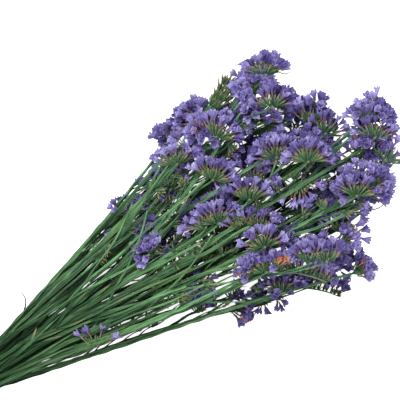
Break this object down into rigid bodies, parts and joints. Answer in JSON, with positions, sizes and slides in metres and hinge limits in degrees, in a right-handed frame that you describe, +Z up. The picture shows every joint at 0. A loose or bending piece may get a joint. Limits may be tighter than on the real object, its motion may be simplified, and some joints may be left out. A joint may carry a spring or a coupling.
{
  "type": "dried statice",
  "caption": "Bunch of dried statice lying down: winged green stems tied with twine and fanned out to one-sided combs of papery violet calyxes.",
  "frame": {"origin": "middle of the bounding box, at the level of the table", "axes": "+X along the stems from their cut ends to the flowers, +Y to the left of that way, +Z up from the table"},
  "size_m": [0.5998, 0.2538, 0.1251],
  "materials": {
    "stem": "dry, matt green",
    "calyx": "dry, papery violet",
    "twine": "rough jute"
  },
  "bodies": {
    "root": {"flowers_01": "calyx", "flowers_02": "calyx", "flowers_03": "calyx", "flowers_04": "calyx", "flowers_05": "calyx", "flowers_06": "calyx", "flowers_07": "calyx", "flowers_08": "calyx", "flowers_09": "calyx", "flowers_10": "calyx", "flowers_11": "calyx", "flowers_12": "calyx", "flowers_13": "calyx", "flowers_14": "calyx", "flowers_15": "calyx", "flowers_16": "calyx", "flowers_17": "calyx", "flowers_18": "calyx", "flowers_19": "calyx", "flowers_21": "calyx", "flowers_22": "calyx", "flowers_23": "calyx", "flowers_24": "calyx", "flowers_25": "calyx", "flowers_26": "calyx", "side_flowers_03": "calyx", "side_flowers_04": "calyx", "side_flowers_05": "calyx", "side_flowers_06": "calyx", "side_flowers_10": "calyx", "side_flowers_16": "calyx", "side_flowers_26": "calyx", "stem_01": "stem", "stem_02": "stem", "stem_03": "stem", "stem_04": "stem", "stem_05": "stem", "stem_06": "stem", "stem_07": "stem", "stem_08": "stem", "stem_09": "stem", "stem_10": "stem", "stem_11": "stem", "stem_12": "stem", "stem_13": "stem", "stem_14": "stem", "stem_15": "stem", "stem_16": "stem", "stem_17": "stem", "stem_18": "stem", "stem_19": "stem", "stem_20": "stem", "stem_21": "stem", "stem_22": "stem", "stem_23": "stem", "stem_24": "stem", "stem_25": "stem", "stem_26": "stem", "tie": "twine"}
  },
  "joints": []
}
